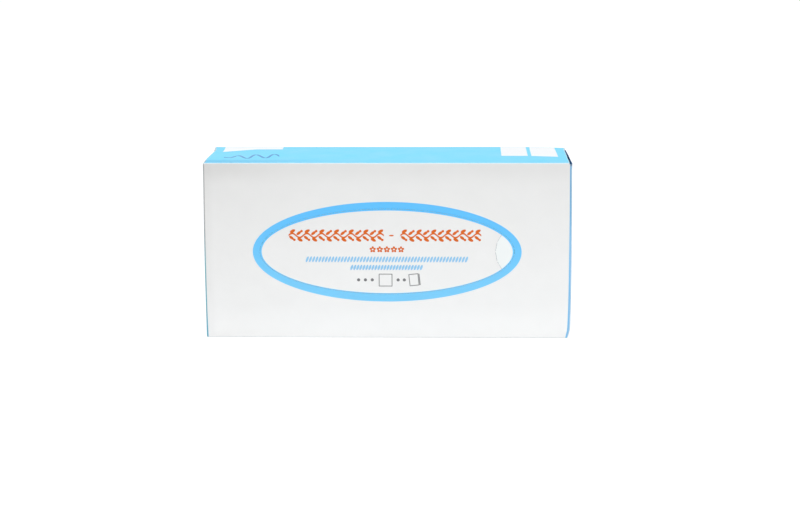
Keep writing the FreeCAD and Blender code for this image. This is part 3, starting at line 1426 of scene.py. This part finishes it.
def wear_painted_light_and_bare_board(printer, bare):
    """What lies over the ink: cracked ink with a painted highlight on the folds, painted shade down the
    left fold, bare board where it was never printed, painted shadow on the cut edges at the open
    corner, and the inner side, partly painted shade.
    """
    whitened = use_group(printer.tree, wear_and_highlight_group,
                     {"Point": printer.point, "Fold": attribute(printer.tree, "fold"),
                      "Amount": fold_wear_and_highlight})
    printer.lay(cracked_white_and_highlight, whitened)
    print_shaded_fold(printer)
    printer.lay(board_edge, bare)
    # Painted shadow: the cut edges at the open corner turn navy.
    shadow_patch = printer.mask(printer.distance_to_bar(shadow_patch_middle, shadow_patch_half_size))
    printer.lay(shadow_navy, shadow_patch * bare)
    printer.lay(board_back_and_shade, attribute(printer.tree, "inside"))


def make_carton_material():
    material = bpy.data.materials.new("printed_board")
    tree = cleared_tree(material)
    printer = Printer(tree, sky_blue)
    bare = attribute(tree, "bare")
    print_carton(printer)
    wear_painted_light_and_bare_board(printer, bare)
    fibres = wires(place_node(tree, "ShaderNodeGroup",
                              {"Point": printer.point, "Scale": fibre_scale},
                              node_tree=fibre_group).outputs)
    clouds = fibres["Clouds"]
    varnish = place(tree, "ShaderNodeMapRange",
                    {"Value": clouds, "From Min": cloud_low, "From Max": cloud_high,
                     "To Min": varnish_smooth, "To Max": varnish_rough})
    bump = place(tree, "ShaderNodeBump",
                 {"Height": fibres["Height"], "Strength": fibre_strength,
                  "Distance": fibre_height})
    shader = place(tree, "ShaderNodeBsdfPrincipled",
                   {"Base Color": scaled(printer.colour, (clouds - 0.5) * cloud_depth + 1.0),
                    "Roughness": largest(varnish, bare * bare_roughness), "Normal": bump,
                    "IOR": varnish_ior, "Specular IOR Level": varnish_shine})
    place_node(tree, "ShaderNodeOutputMaterial", {"Surface": shader})
    return material


carton_material = make_carton_material()
print("shader nodes:", len(carton_material.node_tree.nodes))

# %% [markdown]
# ## Fold it
# The tree goes on the sheet as a modifier. Its inputs are set by their identifiers, the
# result is taken as a plain mesh, and the modifier is removed, so that what stays is
# ordinary geometry.

# %% Run the tree and keep the result
sharp_from = math.radians(32)


def set_inputs(modifier, values):
    """Set a modifier's inputs by the names of its group's sockets."""
    for item in modifier.node_group.interface.items_tree:
        if item.item_type == "SOCKET" and item.in_out == "INPUT" and item.name in values:
            modifier[item.identifier] = values[item.name]


modifier = carton.modifiers.new("fold_carton", "NODES")
modifier.node_group = carton_tree
set_inputs(modifier, {
    "Board": board, "Fold Radius": fold_radius, "Oval Length": oval_length,
    "Oval Height": oval_height, "Slit Length": slit_length, "Nick Length": nick_length,
    "Slit Width": slit_width, "Material": carton_material})
evaluated = carton.evaluated_get(bpy.context.evaluated_depsgraph_get())
folded = bpy.data.meshes.new_from_object(evaluated)
carton.modifiers.remove(modifier)
carton.data = folded
carton.data.name = "carton"
carton.data.shade_smooth()
carton.data.set_sharp_from_angle(angle=sharp_from)
corners = [vertex.co for vertex in carton.data.vertices]
print("folded carton:", len(carton.data.polygons), "faces, reaches",
      [round(min(c[i] for c in corners) / MM, 2) for i in range(3)],
      [round(max(c[i] for c in corners) / MM, 2) for i in range(3)])

# %% [markdown]
# ## Hand the piece to the part
# The folded carton takes the measured solid's place and moves with its only body.

# %% Ride on the part's body
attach(carton, "root")
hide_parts("tissue_carton")
print("carton rides on root")

# %% [markdown]
# ## Camera
# The photograph was taken from a little right of the middle and from above, from about
# one and a quarter metres away, with a long lens. The camera's place and angles were
# worked out from the six corners of the box.

# %% Camera
camera_right = 51.4 * MM
camera_before_front = 1209.0 * MM
camera_height = 326.8 * MM
camera_down = math.radians(12.66)
camera_yaw = math.radians(-2.06)
camera_roll = math.radians(-0.36)
sensor_width = 36.0
frame_width = 800
focal_pixels = 1977.6


def camera_matrix():
    """Where the camera stands and how it is turned."""
    level = Vector((math.cos(camera_yaw), -math.sin(camera_yaw), 0))
    looks = Vector((math.sin(camera_yaw) * math.cos(camera_down),
                    math.cos(camera_yaw) * math.cos(camera_down), -math.sin(camera_down)))
    upright = level.cross(looks)
    right = math.cos(camera_roll) * level + math.sin(camera_roll) * upright
    up = math.cos(camera_roll) * upright - math.sin(camera_roll) * level
    turned = Matrix((right, up, -looks)).transposed().to_4x4()
    place_at = Vector((camera_right, front_y - camera_before_front, camera_height))
    return Matrix.Translation(place_at) @ turned


camera_data = bpy.data.cameras.new("camera")
camera_data.sensor_width = sensor_width
camera_data.lens = focal_pixels / frame_width * sensor_width
camera = bpy.data.objects.new("camera", camera_data)
camera.matrix_world = camera_matrix()
bpy.context.scene.collection.objects.link(camera)
bpy.context.scene.camera = camera
print("lens", round(camera_data.lens, 1), "mm")

# %% [markdown]
# ## Floor, backdrop and light
# The box stands on white in soft light. The floor is a pale surface that keeps a faint
# shadow, and for the camera part of its white is its own, so that it doesn't need so much
# light that the box would bleach. The world is white to the camera and in reflections,
# and dimmer as a source of light.

# %% Floor and world
floor_half = 6.0
floor_drop = 0.02 * MM
floor_lit = 0.86
floor_seen = 0.22
floor_glow = 0.9
world_light = 0.44


def grey(value):
    return (value, value, value, 1.0)


def seen_directly(tree):
    """One for rays from the camera, in reflections or through glass, else nought."""
    rays = wires(place_node(tree, "ShaderNodeLightPath", {}).outputs)
    return largest(rays["Is Camera Ray"], rays["Is Glossy Ray"], rays["Is Transmission Ray"])


def two_faced(tree, output, lit, seen):
    """End a tree with one shader that gives the light and another one that is seen."""
    mixed = place(tree, "ShaderNodeMixShader", {0: seen_directly(tree), 1: lit, 2: seen})
    place_node(tree, output, {"Surface": mixed})


def make_floor_material():
    material = bpy.data.materials.new("white_floor")
    tree = cleared_tree(material)
    matte = place(tree, "ShaderNodeBsdfDiffuse", {"Color": grey(floor_lit)})
    faint = place(tree, "ShaderNodeBsdfDiffuse", {"Color": grey(floor_seen)})
    glow = place(tree, "ShaderNodeEmission", {"Color": grey(1.0), "Strength": floor_glow})
    seen = place(tree, "ShaderNodeAddShader", {0: faint, 1: glow})
    two_faced(tree, "ShaderNodeOutputMaterial", matte, seen)
    return material


def make_floor():
    mesh = bpy.data.meshes.new("floor")
    corners = [(x * floor_half, y * floor_half, -floor_drop)
               for x, y in ((-1, -1), (1, -1), (1, 1), (-1, 1))]
    mesh.from_pydata(corners, [], [(0, 1, 2, 3)])
    mesh.materials.append(make_floor_material())
    floor = bpy.data.objects.new("floor", mesh)
    bpy.context.scene.collection.objects.link(floor)


def make_world():
    world = bpy.data.worlds.new("studio")
    tree = cleared_tree(world)
    light = place(tree, "ShaderNodeBackground", {"Color": grey(1.0), "Strength": world_light})
    white = place(tree, "ShaderNodeBackground", {"Color": grey(1.0), "Strength": 1.0})
    two_faced(tree, "ShaderNodeOutputWorld", light, white)
    bpy.context.scene.world = world


make_floor()
make_world()
print("floor is", 2 * floor_half, "m wide")

# %% [markdown]
# Three large lamps look at the middle of the box. The one overhead is the strongest, and
# the one in front fills the shade on the front panel.

# %% Lamps
Lamp = namedtuple("Lamp", "name place_at side power")
lamps = [
    Lamp("overhead", (0.1, 0.0, 1.8), 2.0, 18.5),
    Lamp("front", (0.15, -1.9, 0.6), 1.2, 12.1),
    Lamp("behind", (-0.3, 1.3, 1.5), 1.2, 8),
]
aim_at = Vector((0, 0, height / 2))
for lamp in lamps:
    data = bpy.data.lights.new(lamp.name, "AREA")
    data.shape = "RECTANGLE"
    data.size = lamp.side
    data.size_y = lamp.side
    data.energy = lamp.power
    light = bpy.data.objects.new(lamp.name, data)
    light.location = lamp.place_at
    direction = aim_at - Vector(lamp.place_at)
    light.rotation_euler = direction.to_track_quat("-Z", "Y").to_euler()
    bpy.context.scene.collection.objects.link(light)
bpy.context.scene.view_settings.view_transform = "Standard"
print(len(lamps), "soft lamps")
